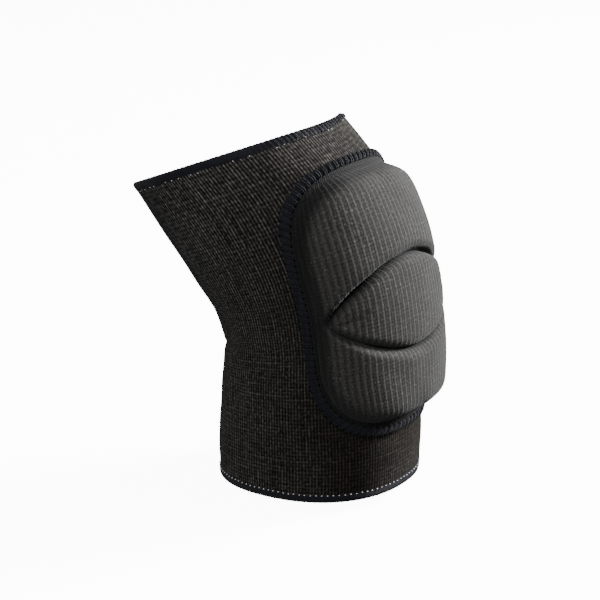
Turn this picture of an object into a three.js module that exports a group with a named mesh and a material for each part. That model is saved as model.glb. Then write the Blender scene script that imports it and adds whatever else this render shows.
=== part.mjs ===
import * as THREE from 'three';

// A knitted knee pad in the form it has on a bent leg.
// The origin is the centre of the knee, +Z runs up along the calf and the knee faces -Y.

// Driving dimensions. Lengths are in millimetres and angles in degrees.

// The bent leg, measured over the knitted sleeve
const CALF_LENGTH = 89;
const THIGH_LENGTH = 112;
const KNEE_BEND = 31.5;
const CALF_DEPTH = 117;
const CALF_WIDTH = 108;
const KNEE_DEPTH = 109;
const KNEE_WIDTH = 114;
const THIGH_DEPTH = 124;
const THIGH_WIDTH = 124;

// The sleeve's wall and the fold behind the knee
const WALL = 2.2;
const FOLD_DEPTH = 3;
const FOLD_SPREAD = 2.6;

// The overlocked hems
const HEM_HEIGHT = 4.5;
const HEM_THICKNESS = 3.4;

// The knee pad on the front of the sleeve
const BARE_ABOVE_PAD = 25;
const BARE_BELOW_PAD = 36;
const PAD_WIDTH = 126;
const PAD_THICKNESS_LOW = 15;
const PAD_THICKNESS_HIGH = 11;
const PAD_FLANK_SIDE = 8;
const PAD_FLANK_TOP = 15;
const PAD_FLANK_BOTTOM = 9;
const PAD_MARGIN = 7;
const MARGIN_THICKNESS = 1.5;

// The overlocked edge that joins the pad's cover to the sleeve
const EDGE_WIDTH = 5;
const EDGE_HEIGHT = 2.4;

// The raised kneecap between its two grooves
const KNEECAP_ABOVE_KNEE = 15;
const KNEECAP_RISE = 25.5;
const KNEECAP_DROP = 25;
const KNEECAP_BRIDGE = 7;
const GROOVE_DEPTH = 4.5;
const GROOVE_SPREAD = 6;
const GROOVE_GAP = 0.6;

// Gaps between pieces that are sewn together
const HEM_GAP = 0.3;
const EDGE_GAP = 0.3;
const PAD_GAP = 0.5;

// Shapes without a unit. For the outlines 2 is an ellipse and a larger number is squarer.
const LEG_SQUARENESS = 2.25;
const PAD_SQUARENESS = 3.2;
const SHOULDER_CRISPNESS = 6;
const KNEECAP_POINTEDNESS = 0.65;
const GROOVE_TIP_TAPER = 0.5;

// How finely the surfaces are faceted
const SIDES = 48;
const HEM_SIDES = 8;
const ROWS_PER_LIMB = 8;
const RUN_STEPS = 400;
const GROOVE_STEPS = 720;
const SLOPE_STEP = 1e-3;

const CALF = { length: CALF_LENGTH, depth: CALF_DEPTH, width: CALF_WIDTH, upward: -1 };
const KNEE = { length: 0, depth: KNEE_DEPTH, width: KNEE_WIDTH, upward: 1 };
const THIGH = { length: THIGH_LENGTH, depth: THIGH_DEPTH, width: THIGH_WIDTH, upward: 1 };

// Sections of the leg from the calf rim up to the thigh rim. Reach, depth and width are
// shares of the limb's own sizes. Turn is how far the section's middle has swung back and
// tilt how far the section's front is tipped up, both as shares of the knee's bend.
const SECTIONS = [
  { limb: CALF, reach: 1.0, turn: 0.045, tilt: 0.085, depth: 1.0, width: 1.0 },
  { limb: CALF, reach: 0.755, turn: 0.045, tilt: 0.13, depth: 1.01, width: 1.02 },
  { limb: CALF, reach: 0.49, turn: 0.04, tilt: 0.155, depth: 0.98, width: 1.04 },
  { limb: CALF, reach: 0.225, turn: 0.02, tilt: 0.21, depth: 0.95, width: 1.055 },
  { limb: KNEE, reach: 0.0, turn: 0.0, tilt: 0.33, depth: 1.0, width: 1.0 },
  { limb: THIGH, reach: 0.195, turn: 0.4, tilt: 0.515, depth: 0.915, width: 0.92 },
  { limb: THIGH, reach: 0.415, turn: 0.645, tilt: 0.68, depth: 0.995, width: 0.935 },
  { limb: THIGH, reach: 0.695, turn: 0.835, tilt: 0.725, depth: 1.04, width: 0.97 },
  { limb: THIGH, reach: 1.0, turn: 1.0, tilt: 0.68, depth: 1.0, width: 1.0 },
];

// The station of the knee on a scale from 0 at the calf rim to 1 at the thigh rim
const KNEE_STATION = 0.5;

// The front or back end of a section, in the side view's plane of Y and Z
function sectionEnd(section, towardsFront) {
  const turn = THREE.MathUtils.degToRad(section.turn * KNEE_BEND);
  const tilt = THREE.MathUtils.degToRad(section.tilt * KNEE_BEND);
  const reach = section.reach * section.limb.length;
  const half = (section.depth * section.limb.depth) / 2;
  const middle = new THREE.Vector2(Math.sin(turn), section.limb.upward * Math.cos(turn));
  const forward = new THREE.Vector2(-Math.cos(tilt), Math.sin(tilt));
  return middle.multiplyScalar(reach).addScaledVector(forward, towardsFront * half);
}

const frontLine = new THREE.SplineCurve(SECTIONS.map((section) => sectionEnd(section, 1)));
const backLine = new THREE.SplineCurve(SECTIONS.map((section) => sectionEnd(section, -1)));
const widthLine = new THREE.SplineCurve(
  SECTIONS.map(({ limb, width }, place) => new THREE.Vector2(place, (width * limb.width) / 2)),
);

// A squared circle's radius at an angle
function squaredRadius(angle, squareness) {
  const sum = Math.abs(Math.sin(angle)) ** squareness + Math.abs(Math.cos(angle)) ** squareness;
  return sum ** (-1 / squareness);
}

// Lengths along a line, counted from the knee's station
function measuredFromKnee(line) {
  line.arcLengthDivisions = RUN_STEPS;
  const lengths = line.getLengths();
  const below = lengths[RUN_STEPS * KNEE_STATION];
  const whole = line.getLength();
  return {
    below,
    above: whole - below,
    stationAt: (distance) => line.getUtoTmapping((below + distance) / whole),
    distanceAt(station) {
      const place = station * RUN_STEPS;
      const step = Math.min(Math.floor(place), RUN_STEPS - 1);
      return THREE.MathUtils.lerp(lengths[step], lengths[step + 1], place - step) - below;
    },
  };
}

const frontRun = measuredFromKnee(frontLine);
const backRun = measuredFromKnee(backLine);

// A point on the outside of the sleeve. The angle is counted from the front towards +X.
function legPoint(station, angle) {
  const front = frontLine.getPoint(station);
  const back = backLine.getPoint(station);
  const halfWidth = widthLine.getPoint(station).y;
  const middle = front.clone().add(back).multiplyScalar(0.5);
  const half = front.clone().sub(back).multiplyScalar(0.5);
  const forward = half.clone().normalize();
  const radius = squaredRadius(angle, LEG_SQUARENESS);
  const backness = Math.max(-Math.cos(angle), 0);
  const fold = FOLD_DEPTH * Math.exp(-Math.abs(backRun.distanceAt(station)) / FOLD_SPREAD);
  middle.addScaledVector(half, radius * Math.cos(angle));
  middle.addScaledVector(forward, fold * backness);
  return new THREE.Vector3(halfWidth * radius * Math.sin(angle), middle.x, middle.y);
}

// The direction straight out of the sleeve
function legNormal(station, angle) {
  const upper = legPoint(Math.min(station + SLOPE_STEP, 1), angle);
  const lower = legPoint(Math.max(station - SLOPE_STEP, 0), angle);
  const left = legPoint(station, angle + SLOPE_STEP);
  const right = legPoint(station, angle - SLOPE_STEP);
  const along = upper.sub(lower);
  const around = left.sub(right);
  return around.cross(along).normalize();
}

// A point lifted off the outside of the sleeve, or sunk into its wall
function liftedPoint(station, angle, lift) {
  return legPoint(station, angle).addScaledVector(legNormal(station, angle), lift);
}

// The station that lies a distance inside a rim, along the sleeve at one angle
function stationInside(rim, angle, distance) {
  const inward = rim === 0 ? 1 : -1;
  const stepInside = legPoint(rim + inward * SLOPE_STEP, angle);
  const pace = legPoint(rim, angle).distanceTo(stepInside) / SLOPE_STEP;
  return rim + (inward * distance) / pace;
}

// A closed ring: sides around, and in each side the same loop of section points
function ringSolid(sides, loopPoints, pointAt) {
  const positions = [];
  const index = [];
  for (let side = 0; side < sides; side += 1) {
    for (let place = 0; place < loopPoints; place += 1) {
      positions.push(...pointAt((2 * Math.PI * side) / sides, place).toArray());
      const nextSide = ((side + 1) % sides) * loopPoints;
      const nextPlace = (place + 1) % loopPoints;
      const here = side * loopPoints + place;
      const right = nextSide + place;
      const above = side * loopPoints + nextPlace;
      const diagonal = nextSide + nextPlace;
      index.push(here, right, diagonal, here, diagonal, above);
    }
  }
  return indexedSolid(positions, index);
}

// A closed dome: rings from a pole on top, over the edge, to a pole underneath
function domeSolid(sides, rings, pointAt, topPole, bottomPole) {
  const positions = [...topPole.toArray(), ...bottomPole.toArray()];
  const index = [];
  const vertex = (side, ring) => 2 + (side % sides) * rings + ring;
  for (let side = 0; side < sides; side += 1) {
    index.push(0, vertex(side, 0), vertex(side + 1, 0));
    index.push(1, vertex(side + 1, rings - 1), vertex(side, rings - 1));
    for (let ring = 0; ring < rings; ring += 1) {
      positions.push(...pointAt((2 * Math.PI * side) / sides, ring).toArray());
    }
    for (let ring = 0; ring < rings - 1; ring += 1) {
      index.push(vertex(side, ring), vertex(side, ring + 1), vertex(side + 1, ring + 1));
      index.push(vertex(side, ring), vertex(side + 1, ring + 1), vertex(side + 1, ring));
    }
  }
  return indexedSolid(positions, index);
}

function indexedSolid(positions, index) {
  const geometry = new THREE.BufferGeometry();
  geometry.setAttribute('position', new THREE.Float32BufferAttribute(positions, 3));
  geometry.setIndex(index);
  geometry.computeVertexNormals();
  return geometry;
}

// The knitted sleeve: an open tube whose rows gather where it folds behind the knee
function knitSleeve() {
  const foldShares = [-1, -0.65, -0.35, -0.15, 0, 0.15, 0.35, 0.65, 1];
  const foldStations = 0.07;
  const limbShares = Array.from({ length: ROWS_PER_LIMB }, (_, row) => row / ROWS_PER_LIMB);
  const plainStations = KNEE_STATION - foldStations;
  const rows = [
    ...limbShares.map((share) => share * plainStations),
    ...foldShares.map((share) => KNEE_STATION + share * foldStations),
    ...limbShares.map((share) => 1 - share * plainStations).reverse(),
  ];
  const end = HEM_HEIGHT + HEM_GAP;
  const stationOfRow = (row, angle) => {
    const rim = row < KNEE_STATION ? 0 : 1;
    const share = (row - KNEE_STATION) / (rim - KNEE_STATION);
    return THREE.MathUtils.lerp(KNEE_STATION, stationInside(rim, angle, end), share);
  };
  return ringSolid(SIDES, 2 * rows.length, (angle, place) => {
    const outside = place < rows.length;
    const row = outside ? rows[place] : rows[2 * rows.length - 1 - place];
    return liftedPoint(stationOfRow(row, angle), angle, outside ? 0 : -WALL);
  });
}

// A hem: an oval roll of thread round the sleeve's rim
function hem(rim) {
  const turnSign = rim === 0 ? 1 : -1;
  return ringSolid(SIDES, HEM_SIDES, (angle, place) => {
    const turn = (turnSign * 2 * Math.PI * place) / HEM_SIDES;
    const inside = (HEM_HEIGHT / 2) * (1 - Math.cos(turn));
    const lift = (HEM_THICKNESS * Math.sin(turn) - WALL) / 2;
    return liftedPoint(stationInside(rim, angle, inside), angle, lift);
  });
}

// The pad lies on the front of the sleeve. Its own coordinates are millimetres across
// towards +X and along the front upwards, both counted from the pad's middle.
const PAD_TOP = frontRun.above - BARE_ABOVE_PAD;
const PAD_BOTTOM = BARE_BELOW_PAD - frontRun.below;
const PAD_LENGTH = PAD_TOP - PAD_BOTTOM;
const PAD_MIDDLE = (PAD_TOP + PAD_BOTTOM) / 2;
const PAD_BEND_RADIUS = (KNEE_DEPTH + KNEE_WIDTH) / 4;
const KNEECAP_ALONG = KNEECAP_ABOVE_KNEE - PAD_MIDDLE;
const KNEECAP_HALF_WIDTH = PAD_WIDTH / 2 - PAD_MARGIN - KNEECAP_BRIDGE;

function padPoint({ across, along, lift }) {
  const station = frontRun.stationAt(PAD_MIDDLE + along);
  return liftedPoint(station, across / PAD_BEND_RADIUS, PAD_GAP + lift);
}

// The pad's rounded outline, set in from the outer edge of its overlocked seam
function padOutline(turn, inset) {
  const radius = squaredRadius(turn, PAD_SQUARENESS);
  return {
    across: (PAD_WIDTH / 2 - inset) * radius * Math.cos(turn),
    along: (PAD_LENGTH / 2 - inset) * radius * Math.sin(turn),
  };
}

// The kneecap's pointed outline, spread outwards from the middle of its groove
function kneecapOutline(turn, spread) {
  const height = Math.sin(turn) < 0 ? -KNEECAP_DROP - spread : KNEECAP_RISE + spread;
  const share = Math.cos(turn);
  return {
    across: (KNEECAP_HALF_WIDTH + spread) * share,
    along: KNEECAP_ALONG + height * Math.cos((share * Math.PI) / 2) ** KNEECAP_POINTEDNESS,
  };
}

const GROOVE_POINTS = Array.from({ length: GROOVE_STEPS }, (_, step) =>
  kneecapOutline((2 * Math.PI * step) / GROOVE_STEPS, 0),
);

// Distance from a point of the pad to the nearest point of the grooves
function grooveDistance(across, along) {
  const distances = GROOVE_POINTS.map((groove) =>
    Math.hypot(across - groove.across, along - groove.along),
  );
  return Math.min(...distances);
}

// The width of the cushion's sloping flank, which grows towards the pad's ends
function flankWidth(along) {
  const up = THREE.MathUtils.clamp((2 * along) / PAD_LENGTH, -1, 1);
  const end = up > 0 ? PAD_FLANK_TOP : PAD_FLANK_BOTTOM;
  return THREE.MathUtils.lerp(PAD_FLANK_SIDE, end, Math.abs(up) ** 3);
}

// The cushion's height: a flat margin, a sloping flank, a crisp shoulder and the grooves
function padHeight(across, along) {
  const { across: edgeAcross, along: edgeAlong } = padOutline(
    Math.atan2(along / PAD_LENGTH, across / PAD_WIDTH),
    0,
  );
  const inset = Math.hypot(edgeAcross, edgeAlong) - Math.hypot(across, along);
  const flank = Math.max((inset - PAD_MARGIN) / flankWidth(along), 0);
  const rise = flank / (1 + flank ** SHOULDER_CRISPNESS) ** (1 / SHOULDER_CRISPNESS);
  const upShare = along / PAD_LENGTH + 0.5;
  const crown = THREE.MathUtils.lerp(PAD_THICKNESS_LOW, PAD_THICKNESS_HIGH, upShare);
  const tipShare = Math.min(Math.abs(across) / KNEECAP_HALF_WIDTH, 1);
  const spread = GROOVE_SPREAD * (1 - GROOVE_TIP_TAPER * tipShare ** 2);
  const nearness = 1 - Math.min(grooveDistance(across, along) / spread, 1);
  const groove = GROOVE_DEPTH * nearness ** 2 * rise;
  return Math.max(crown * rise - groove, MARGIN_THICKNESS);
}

function between(start, end, share) {
  return {
    across: THREE.MathUtils.lerp(start.across, end.across, share),
    along: THREE.MathUtils.lerp(start.along, end.along, share),
  };
}

// The foam cushion and its knitted cover, with an eye-shaped hole for the kneecap.
// Rings lie close together down the groove's bank and down the outer flank.
function padCushion() {
  const flankShares = [0, 0.45, 0.65, 0.8, 1];
  const crownShares = [0.75, 0.5, 0.25];
  const bankShares = [1, 0.55, 0.25, 0];
  const undersideShares = [0, 0.15, 0.3, 0.45, 0.6, 0.8, 1];
  const mostBank = 0.3;
  const mostFlank = 0.7;
  const reachPastFlank = 1.35;
  const marginInset = EDGE_WIDTH + EDGE_GAP;
  const margin = PAD_MARGIN - marginInset;
  const ringShares = (length, flankHere) => {
    const bank = Math.min(GROOVE_SPREAD, mostBank * length);
    const flank = Math.min(reachPastFlank * flankHere, mostFlank * length - margin);
    const crownEnd = length - margin - flank;
    return [
      length,
      ...flankShares.map((share) => length - margin - share * flank),
      ...crownShares.map((share) => THREE.MathUtils.lerp(bank, crownEnd, share)),
      ...bankShares.map((share) => share * bank),
    ].map((distance) => distance / length);
  };
  const topPoints = 1 + flankShares.length + crownShares.length + bankShares.length;
  return ringSolid(SIDES, topPoints + undersideShares.length, (turn, place) => {
    const inner = kneecapOutline(turn, GROOVE_GAP / 2);
    const outer = padOutline(turn, marginInset);
    if (place >= topPoints) {
      return padPoint({ ...between(inner, outer, undersideShares[place - topPoints]), lift: 0 });
    }
    const length = Math.hypot(outer.across - inner.across, outer.along - inner.along);
    const point = between(inner, outer, ringShares(length, flankWidth(outer.along))[place]);
    return padPoint({ ...point, lift: padHeight(point.across, point.along) });
  });
}

// The raised kneecap, a dome whose rim drops into the groove
function kneecapCushion() {
  const topShares = [0.3, 0.55, 0.75, 0.88, 0.95, 1];
  const undersideShares = [1, 0.8, 0.6, 0.4, 0.2];
  const middle = { across: 0, along: KNEECAP_ALONG };
  const pointAt = (turn, ring) => {
    const onTop = ring < topShares.length;
    const share = onTop ? topShares[ring] : undersideShares[ring - topShares.length];
    const point = between(middle, kneecapOutline(turn, -GROOVE_GAP / 2), share);
    return padPoint({ ...point, lift: onTop ? padHeight(point.across, point.along) : 0 });
  };
  const topPole = padPoint({ ...middle, lift: padHeight(middle.across, middle.along) });
  const bottomPole = padPoint({ ...middle, lift: 0 });
  return domeSolid(SIDES, topShares.length + undersideShares.length, pointAt, topPole, bottomPole);
}

// The overlocked edge: an oval roll of thread all round the pad
function padEdgeSeam() {
  return ringSolid(SIDES, HEM_SIDES, (turn, place) => {
    const sectionTurn = (2 * Math.PI * place) / HEM_SIDES;
    const inset = (EDGE_WIDTH / 2) * (1 - Math.cos(sectionTurn));
    const lift = (EDGE_HEIGHT / 2) * (1 + Math.sin(sectionTurn));
    return padPoint({ ...padOutline(turn, inset), lift });
  });
}

const KNIT = { color: 0x2a2a2c, roughness: 0.95, metalness: 0 };
const RIBBED_COVER = { color: 0x454543, roughness: 0.9, metalness: 0 };
const THREAD = { color: 0x1d1e27, roughness: 0.85, metalness: 0 };

const PIECES = [
  { name: 'knit_sleeve', shape: knitSleeve(), finish: KNIT },
  { name: 'thigh_hem', shape: hem(1), finish: THREAD },
  { name: 'calf_hem', shape: hem(0), finish: THREAD },
  { name: 'pad_cushion', shape: padCushion(), finish: RIBBED_COVER },
  { name: 'kneecap_cushion', shape: kneecapCushion(), finish: RIBBED_COVER },
  { name: 'pad_edge_seam', shape: padEdgeSeam(), finish: THREAD },
];

const group = new THREE.Group();
for (const { name, shape, finish } of PIECES) {
  const mesh = new THREE.Mesh(shape, new THREE.MeshStandardMaterial(finish));
  mesh.name = name;
  group.add(mesh);
}

export default group;
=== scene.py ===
# %% [markdown]
# This lesson dresses a volleyball knee pad in the form that it has on a bent leg. The real
# pad is an elastic knitted sleeve with overlocked rims, and a thick foam pad in a ribbed
# cover on its front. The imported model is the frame: every piece made here takes its place
# and size from it, and stands for one or two of its plain solids.

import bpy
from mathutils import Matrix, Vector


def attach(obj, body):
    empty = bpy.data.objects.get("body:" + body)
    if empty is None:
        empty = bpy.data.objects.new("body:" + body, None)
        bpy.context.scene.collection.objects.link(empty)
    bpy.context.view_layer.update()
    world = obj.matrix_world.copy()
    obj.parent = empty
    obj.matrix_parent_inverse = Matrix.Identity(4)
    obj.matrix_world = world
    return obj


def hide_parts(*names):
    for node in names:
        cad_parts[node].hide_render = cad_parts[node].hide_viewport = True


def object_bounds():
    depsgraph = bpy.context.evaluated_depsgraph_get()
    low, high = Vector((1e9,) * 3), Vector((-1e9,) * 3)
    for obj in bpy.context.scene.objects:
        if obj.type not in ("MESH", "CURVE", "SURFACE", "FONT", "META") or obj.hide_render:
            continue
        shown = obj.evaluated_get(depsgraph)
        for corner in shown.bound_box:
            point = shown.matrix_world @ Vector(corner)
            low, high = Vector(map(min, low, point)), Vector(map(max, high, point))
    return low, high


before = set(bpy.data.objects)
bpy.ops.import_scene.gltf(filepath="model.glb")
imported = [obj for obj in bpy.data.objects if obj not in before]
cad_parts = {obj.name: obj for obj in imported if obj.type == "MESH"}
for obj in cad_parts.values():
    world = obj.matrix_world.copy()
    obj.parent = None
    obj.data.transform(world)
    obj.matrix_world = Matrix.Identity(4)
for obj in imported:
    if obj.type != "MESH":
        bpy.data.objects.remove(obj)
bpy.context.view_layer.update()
print("nodes in the frame:", sorted(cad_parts))

# %% [markdown]
# Blender works in metres and the maker of a knee pad thinks in millimetres, so the shapes
# below are worked out in millimetres and scaled once, when a mesh is made. Arrays of numbers
# are handled by numpy, because a knit has tens of thousands of points.

# %% Units and the camera's place
import math

import bpy
import numpy as np

MM = 0.001
PHOTO_PIXELS = 600
VIEW_AZIMUTH = math.radians(-56)
VIEW_ELEVATION = math.radians(18.5)
VIEW_DISTANCE = 1.0
PIXELS_PER_METRE = 1724.0
KNEE_PIXEL = (322.3, 323.9)


# %% [markdown]
# The sleeve follows a bent leg. The leg's form is a stack of oval sections from the calf rim
# up to the thigh rim, and a smooth line runs through the fronts, the backs and the sides of
# those sections. The table holds shares of the real sizes, exactly as the solids do, so the
# cloth made here lies on the same surface as they do.

# %% Sections of the leg
KNEE_BEND = math.radians(31.5)
CALF = {"length": 89, "depth": 117, "width": 108, "upward": -1}
KNEE = {"length": 0, "depth": 109, "width": 114, "upward": 1}
THIGH = {"length": 112, "depth": 124, "width": 124, "upward": 1}
LEG_SQUARENESS = 2.25
FOLD_DEPTH = 3
FOLD_SPREAD = 2.6

# Each row: limb, reach along it, turn, tilt, depth and width.
SECTIONS = [
    (CALF, 1.0, 0.045, 0.085, 1.0, 1.0),
    (CALF, 0.755, 0.045, 0.13, 1.01, 1.02),
    (CALF, 0.49, 0.04, 0.155, 0.98, 1.04),
    (CALF, 0.225, 0.02, 0.21, 0.95, 1.055),
    (KNEE, 0.0, 0.0, 0.33, 1.0, 1.0),
    (THIGH, 0.195, 0.4, 0.515, 0.915, 0.92),
    (THIGH, 0.415, 0.645, 0.68, 0.995, 0.935),
    (THIGH, 0.695, 0.835, 0.725, 1.04, 0.97),
    (THIGH, 1.0, 1.0, 0.68, 1.0, 1.0),
]


def section_end(section, towards_front):
    """The front or back end of a section, in the side view's plane of Y and Z."""
    limb, reach, turn, tilt, depth, _ = section
    turn = turn * KNEE_BEND
    tilt = tilt * KNEE_BEND
    reach = reach * limb["length"]
    half = towards_front * depth * limb["depth"] / 2
    middle_y = math.sin(turn) * reach
    middle_z = limb["upward"] * math.cos(turn) * reach
    return middle_y - math.cos(tilt) * half, middle_z + math.sin(tilt) * half


FRONT_ENDS = np.array([section_end(section, 1) for section in SECTIONS])
BACK_ENDS = np.array([section_end(section, -1) for section in SECTIONS])
HALF_WIDTHS = np.array([[row[-1] * row[0]["width"] / 2] for row in SECTIONS])
print("sections:", len(SECTIONS), "front of the knee at", FRONT_ENDS[4].round(1), "mm")


# %% [markdown]
# One kind of smooth line, through evenly spaced knots, carries the whole form. The lengths
# along the front and back lines are worked out here as well, counted from the knee.

# %% Smooth lines through the sections
def smooth_line(knots, station):
    """Points of a curve through evenly spaced knots. Station runs from 0 to 1, or just past."""
    place = np.asarray(station) * (len(knots) - 1)
    step = np.clip(np.floor(place).astype(int), 0, len(knots) - 2)
    share = (place - step)[..., None]
    before, start = knots[np.maximum(step - 1, 0)], knots[step]
    end, after = knots[step + 1], knots[np.minimum(step + 2, len(knots) - 1)]
    leave, arrive = (end - before) / 2, (after - start) / 2
    cubic = 2 * start - 2 * end + leave + arrive
    square = -3 * start + 3 * end - 2 * leave - arrive
    return cubic * share**3 + square * share**2 + leave * share + start


def squared_radius(angle, squareness):
    """The radius of a squared circle: 2 is a circle, and more is squarer."""
    total = np.abs(np.sin(angle)) ** squareness + np.abs(np.cos(angle)) ** squareness
    return total ** (-1 / squareness)


def unit(vectors):
    """The vectors, each made one long."""
    return vectors / np.linalg.norm(vectors, axis=-1, keepdims=True)


def even_angles(count):
    """Even angles once round a circle."""
    return 2 * math.pi * np.arange(count) / count


RUN_STEPS = 400
RUN_STATIONS = np.linspace(0, 1, RUN_STEPS + 1)


def lengths_along(points):
    """How far each point of a line lies from its start, measured along it."""
    return np.concatenate([[0], np.cumsum(np.linalg.norm(np.diff(points, axis=0), axis=1))])


def at_shares(shares, values, points):
    """The values at even shares of a closed line's length, and that length."""
    lengths = lengths_along(points)
    return np.interp((shares % 1.0) * lengths[-1], lengths, values), lengths[-1]


def run_from_knee(knots):
    """Lengths along a line at even stations, counted from the knee."""
    lengths = lengths_along(smooth_line(knots, RUN_STATIONS))
    return lengths - lengths[RUN_STEPS // 2]


FRONT_RUN = run_from_knee(FRONT_ENDS)
BACK_RUN = run_from_knee(BACK_ENDS)
print("front line", round(FRONT_RUN[-1] - FRONT_RUN[0]), "mm")
print("back line", round(BACK_RUN[-1] - BACK_RUN[0]), "mm")


# %% [markdown]
# A point on the leg has a station, from 0 at the calf rim to 1 at the thigh rim, and an angle
# round the leg. Behind the knee the surface sinks into a narrow fold.

# %% Points on and above the leg
SLOPE_STEP = 1e-3


def leg_point(station, angle):
    """Points on the outside of the sleeve. The angle is counted from the front towards +X."""
    station, angle = np.broadcast_arrays(station, angle)
    front = smooth_line(FRONT_ENDS, station)
    back = smooth_line(BACK_ENDS, station)
    half_width = smooth_line(HALF_WIDTHS, station)[..., 0]
    half = (front - back) / 2
    forward = unit(half)
    radius = squared_radius(angle, LEG_SQUARENESS)
    fold = FOLD_DEPTH * np.exp(-np.abs(np.interp(station, RUN_STATIONS, BACK_RUN)) / FOLD_SPREAD)
    profile = (front + back) / 2 + half * (radius * np.cos(angle))[..., None]
    profile = profile + forward * (fold * np.maximum(-np.cos(angle), 0))[..., None]
    sideways = half_width * radius * np.sin(angle)
    return np.stack([sideways, profile[..., 0], profile[..., 1]], axis=-1)


def leg_normal(station, angle):
    """The direction straight out of the sleeve."""
    along = leg_point(station + SLOPE_STEP, angle) - leg_point(station - SLOPE_STEP, angle)
    around = leg_point(station, angle + SLOPE_STEP) - leg_point(station, angle - SLOPE_STEP)
    return unit(np.cross(around, along))


def lifted_point(station, angle, lift):
    """Points lifted off the outside of the sleeve, or sunk into its wall."""
    station, angle, lift = np.broadcast_arrays(station, angle, lift)
    return leg_point(station, angle) + leg_normal(station, angle) * lift[..., None]


# %% [markdown]
# The rims aren't quite even lines. The calf's is drawn out a little over a millimetre all
# round, and the thigh's stands up in a small peak beside the middle of its front. Distances
# inside a rim are counted from the drawn-out line.

# %% The drawn-out rims
CALF_RIM_DROP = 1.2
THIGH_RIM_PEAK = 3.4
PEAK_ANGLE = 0.6
PEAK_SPREAD = 0.38


def rim_stretch(rim, angle):
    """How far a rim is drawn out beyond its even line. The thigh's has a small peak."""
    from_peak = np.angle(np.exp(1j * (angle - PEAK_ANGLE)))
    peak = THIGH_RIM_PEAK * np.exp(-((from_peak / PEAK_SPREAD) ** 2))
    return peak if rim == 1 else np.full(angle.shape, CALF_RIM_DROP)


def station_inside(rim, angle, distance):
    """The station that lies a distance inside a rim, 0 for the calf's and 1 for the thigh's."""
    inward = 1 if rim == 0 else -1
    angle, distance = np.broadcast_arrays(angle, distance)
    distance = distance - rim_stretch(rim, angle)
    first = leg_point(np.full(angle.shape, float(rim)), angle)
    second = leg_point(np.full(angle.shape, rim + inward * SLOPE_STEP), angle)
    pace = np.linalg.norm(second - first, axis=-1) / SLOPE_STEP
    return rim + inward * distance / pace


# %% [markdown]
# Almost everything here is a grid of points: rows along the leg and columns round it. One
# helper turns such a grid into faces, and another turns points and faces into an object. Each
# face corner also gets a place in the cloth's own measure, such as which rib and which row of
# stitches it is on. The weave is drawn from those places, so that it follows the cloth round
# every bend. A second map holds the same faces laid out flat with no overlap.

# %% Grids, faces and pieces
def grid_faces(rows, columns, first=0, wrap_rows=False, wrap_columns=False):
    """Faces of a grid of points, and the row and column of each face corner."""
    row = np.arange(rows if wrap_rows else rows - 1)
    column = np.arange(columns if wrap_columns else columns - 1)
    row, column = (part.ravel() for part in np.meshgrid(row, column, indexing="ij"))
    corner_rows = np.stack([row, row, row + 1, row + 1], axis=1)
    corner_columns = np.stack([column, column + 1, column + 1, column], axis=1)
    faces = first + (corner_rows % rows) * columns + corner_columns % columns
    return faces, corner_rows, corner_columns


def facing_out(points, faces):
    """Whether the faces look out of the volume that they close."""
    a, b, c, d = (points[faces[:, k]] for k in range(4))
    volume = (a * np.cross(b, c)).sum() + (a * np.cross(c, d)).sum()
    return volume > 0


def new_object(name, data):
    """An object in the scene from a mesh, camera or light."""
    thing = bpy.data.objects.new(name, data)
    bpy.context.scene.collection.objects.link(thing)
    return thing


def make_piece(name, points, faces, finish, cloth_places=None, bake_places=None):
    """A smooth object from points in millimetres. Places are one pair for each face corner."""
    if not facing_out(points, faces):
        faces = faces[:, ::-1]
        cloth_places = None if cloth_places is None else cloth_places[:, ::-1]
        bake_places = None if bake_places is None else bake_places[:, ::-1]
    mesh = bpy.data.meshes.new(name)
    mesh.from_pydata((points * MM).tolist(), [], faces.tolist())
    mesh.shade_smooth()
    for layer, places in (("cloth_places", cloth_places), ("OFBake", bake_places)):
        if places is not None:
            mesh.uv_layers.new(name=layer)
            mesh.uv_layers[layer].data.foreach_set("uv", places.astype(np.float32).ravel())
    mesh.materials.append(finish)
    print(f"{name}: {len(points)} points, {2 * len(faces)} triangles")
    return new_object(name, mesh)


def pairs(first, second):
    """Two arrays of face corners as one array of pairs."""
    return np.stack(np.broadcast_arrays(first, second), axis=-1).astype(float)


LEAST_LENGTH = 1e-9


def grid_normals(points):
    """Normals of a grid of points from its neighbours' differences."""
    normal = np.cross(np.gradient(points, axis=1), np.gradient(points, axis=0))
    return normal / np.maximum(np.linalg.norm(normal, axis=-1, keepdims=True), LEAST_LENGTH)


# %% [markdown]
# Nothing knitted is perfectly even. A soft unevenness is added to the surfaces: a sum of a
# few slow waves whose directions and starts are drawn from a seeded generator, so the result
# is the same on each run.

# %% Unevenness
SWELL_WAVES = 14


def swell(turns, along, coarseness, seed):
    """A soft random swell, mostly between -1 and 1. Turns closes on itself after 1."""
    draw = np.random.default_rng(seed)
    total = np.zeros(np.broadcast(turns, along).shape)
    for _ in range(SWELL_WAVES):
        around = draw.integers(-coarseness, coarseness + 1)
        upward = draw.uniform(-coarseness, coarseness)
        start = draw.uniform(0, 2 * math.pi)
        total = total + np.sin(2 * math.pi * (around * turns + upward * along) + start)
    return total / math.sqrt(2 * SWELL_WAVES)


def smooth_step(low, high, value):
    """0 below low, 1 above high and a soft rise between them."""
    share = np.clip((value - low) / (high - low), 0, 1)
    return share * share * (3 - 2 * share)


# %% [markdown]
# A finish is a tree of shader nodes. These helpers add one node each and wire it up, so that
# the finishes below read as sums and mixtures. What is the same all over a surface, such as
# the sheen of the yarn, is set on the shader itself.

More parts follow.
